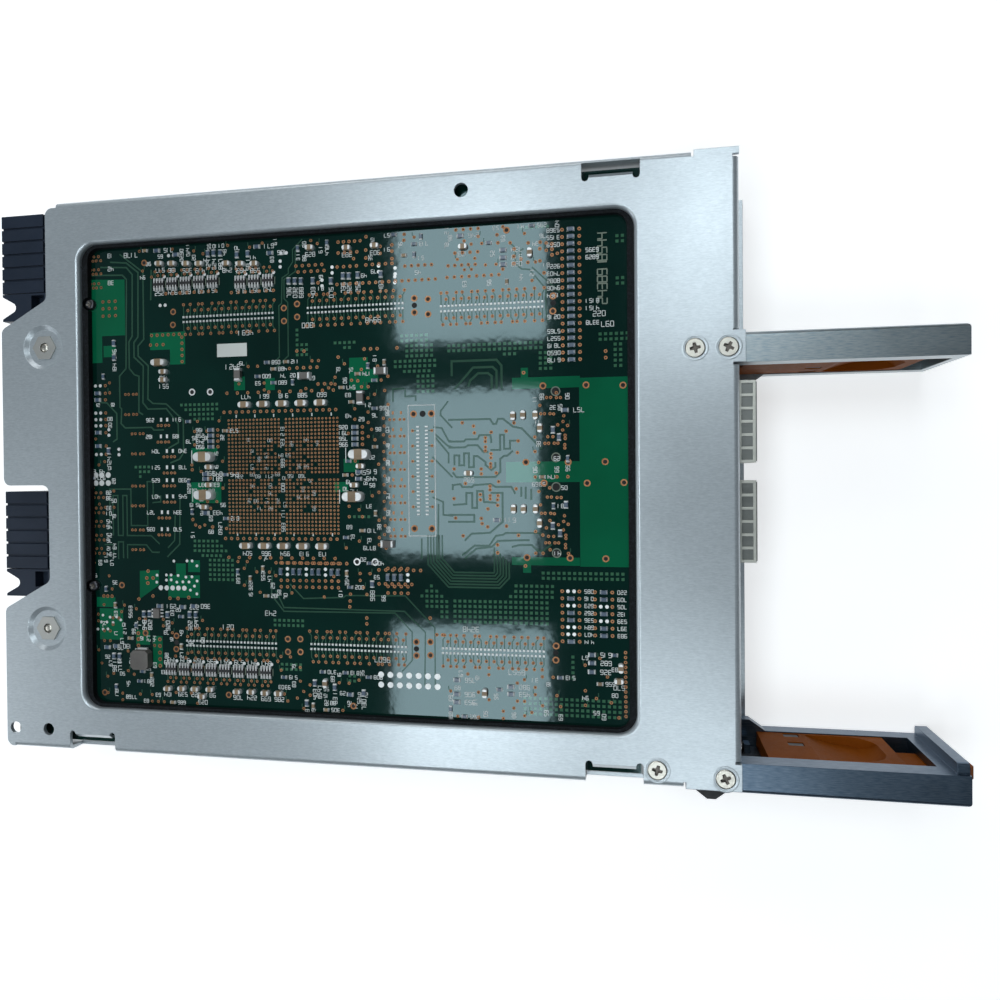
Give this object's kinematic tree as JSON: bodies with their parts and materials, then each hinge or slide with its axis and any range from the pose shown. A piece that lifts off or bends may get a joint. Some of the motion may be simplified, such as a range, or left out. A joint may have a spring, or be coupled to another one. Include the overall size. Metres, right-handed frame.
{
  "type": "storage interface module",
  "caption": "Plug-in interface module: folded tray with a windowed face over a circuit board, backplane connectors behind, latching handles with pull sliders and port cages in front.",
  "frame": {"origin": "middle of the whole module at the level of the tray's open edge, on which it lies", "axes": "+X to the front, where the handles and ports are, +Y across the tray towards the upper connector, +Z out of the tray's face with its window"},
  "size_m": [0.2542, 0.1556, 0.031],
  "materials": {
    "zinc_sheet": "satin",
    "gasket_rubber": "matte",
    "board_laminate": "satin",
    "connector_plastic": "satin",
    "nickel_steel": "satin",
    "dark_steel": "satin",
    "handle_zinc": "satin",
    "slider_plastic": "satin",
    "latch_plastic": "matte",
    "spring_steel": "bright",
    "cage_steel": "satin",
    "package_laminate": "satin",
    "sink_aluminium": "satin",
    "chip_ceramic": "matte",
    "chip_resin": "matte",
    "ferrite": "matte"
  },
  "bodies": {
    "module": {"tray": "zinc_sheet", "window_gasket": "gasket_rubber", "main_board": "board_laminate", "upper_backplane_connector": "connector_plastic", "lower_backplane_connector": "connector_plastic", "upper_guide_block": "connector_plastic", "lower_guide_block": "connector_plastic", "tray_screws": "nickel_steel", "hex_screws": "nickel_steel", "guide_screws": "dark_steel", "upper_handle": "handle_zinc", "lower_handle": "handle_zinc", "upper_slider_spring": "spring_steel", "lower_slider_spring": "spring_steel", "upper_port_cage": "cage_steel", "lower_port_cage": "cage_steel", "upper_cage_collar": "cage_steel", "lower_cage_collar": "cage_steel", "upper_port_connector": "connector_plastic", "lower_port_connector": "connector_plastic", "upper_row_connectors": "connector_plastic", "lower_row_connectors": "connector_plastic", "chip_package": "package_laminate", "heat_sink": "sink_aluminium", "sink_clip": "spring_steel", "clip_anchors": "spring_steel", "middle_connector": "connector_plastic", "chip_capacitors": "chip_ceramic", "resistor_arrays": "chip_resin", "chip_resistors": "chip_resin", "power_inductor": "ferrite"},
    "lower_slide_latch": {"lower_slider": "slider_plastic", "lower_latch_link": "latch_plastic"},
    "lower_pawl": {"lower_latch_pawl": "latch_plastic"},
    "upper_slide_latch": {"upper_slider": "slider_plastic", "upper_latch_link": "latch_plastic"},
    "upper_pawl": {"upper_latch_pawl": "latch_plastic"}
  },
  "joints": [
    {"name": "lower_slider_pull", "type": "slide", "parent": "module", "child": "lower_slide_latch", "axis": [1, 0, 0], "range_m": [0, 0.005], "stiffness_N_per_m": 900, "springref_m": -0.003, "deforming": ["lower_slider_spring"]},
    {"name": "lower_pawl_draw", "type": "slide", "parent": "module", "child": "lower_pawl", "axis": [0, 1, 0], "range_m": [0, 0.0042]},
    {"name": "upper_slider_pull", "type": "slide", "parent": "module", "child": "upper_slide_latch", "axis": [1, 0, 0], "range_m": [0, 0.005], "stiffness_N_per_m": 900, "springref_m": -0.003, "deforming": ["upper_slider_spring"]},
    {"name": "upper_pawl_draw", "type": "slide", "parent": "module", "child": "upper_pawl", "axis": [0, -1, 0], "range_m": [0, 0.0042]}
  ],
  "couplings": [
    {"joint": "lower_pawl_draw", "follows": "lower_slider_pull", "ratio": 0.84},
    {"joint": "upper_pawl_draw", "follows": "upper_slider_pull", "ratio": 0.84}
  ]
}
